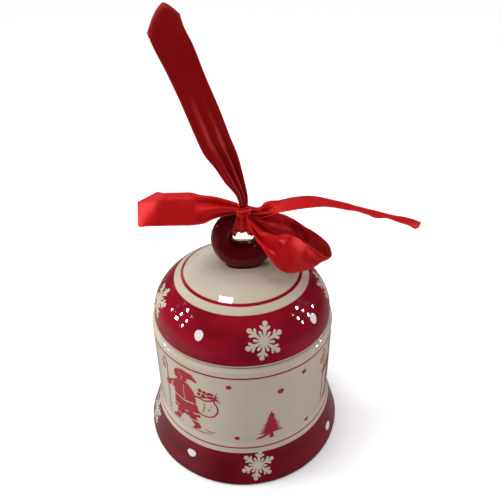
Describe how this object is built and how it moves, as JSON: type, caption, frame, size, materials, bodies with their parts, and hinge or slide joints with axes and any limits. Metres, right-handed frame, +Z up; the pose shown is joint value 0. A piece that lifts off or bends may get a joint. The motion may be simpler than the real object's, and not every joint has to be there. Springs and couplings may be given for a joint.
{
  "type": "bell-shaped ceramic jar with lift-off lid",
  "caption": "Bell-shaped lidded ceramic jar with a ring handle on the dome and a satin ribbon bow and hanging loop, in white and crimson glaze with printed winter motifs.",
  "frame": {"origin": "centre of the foot, on the surface that the jar stands on", "axes": "+Z up along the jar's axis, towards the ring handle; the bow and the printed figure face -Y; +X to the right seen from the front"},
  "size_m": [0.1359, 0.1, 0.1995],
  "materials": {
    "body_glaze": "glossy cream glaze with printed crimson bands and motifs",
    "lid_glaze": "glossy crimson glaze with a white top and printed snowflakes",
    "ring_glaze": "thick glossy dark maroon glaze",
    "satin": "red polyester satin with woven edges"
  },
  "bodies": {
    "jar": {"jar_body": "body_glaze"},
    "lid": {"lid": "lid_glaze", "ring_handle": "ring_glaze", "ribbon_wrap": "satin", "ribbon_knot": "satin", "bow_loop_left": "satin", "bow_loop_right": "satin", "ribbon_tail_right": "satin", "ribbon_tail_left": "satin"},
    "loop": {"hanging_loop": "satin"}
  },
  "joints": [
    {"name": "lid_lift", "type": "slide", "parent": "jar", "child": "lid", "axis": [0, 0, 1], "range_m": [0, 0.05]},
    {"name": "loop_swing", "type": "hinge", "parent": "lid", "child": "loop", "pos_m": [0.0013, -0.0048, 0.1228], "axis": [-1, 0, 0], "range_deg": [-35, 25]}
  ]
}
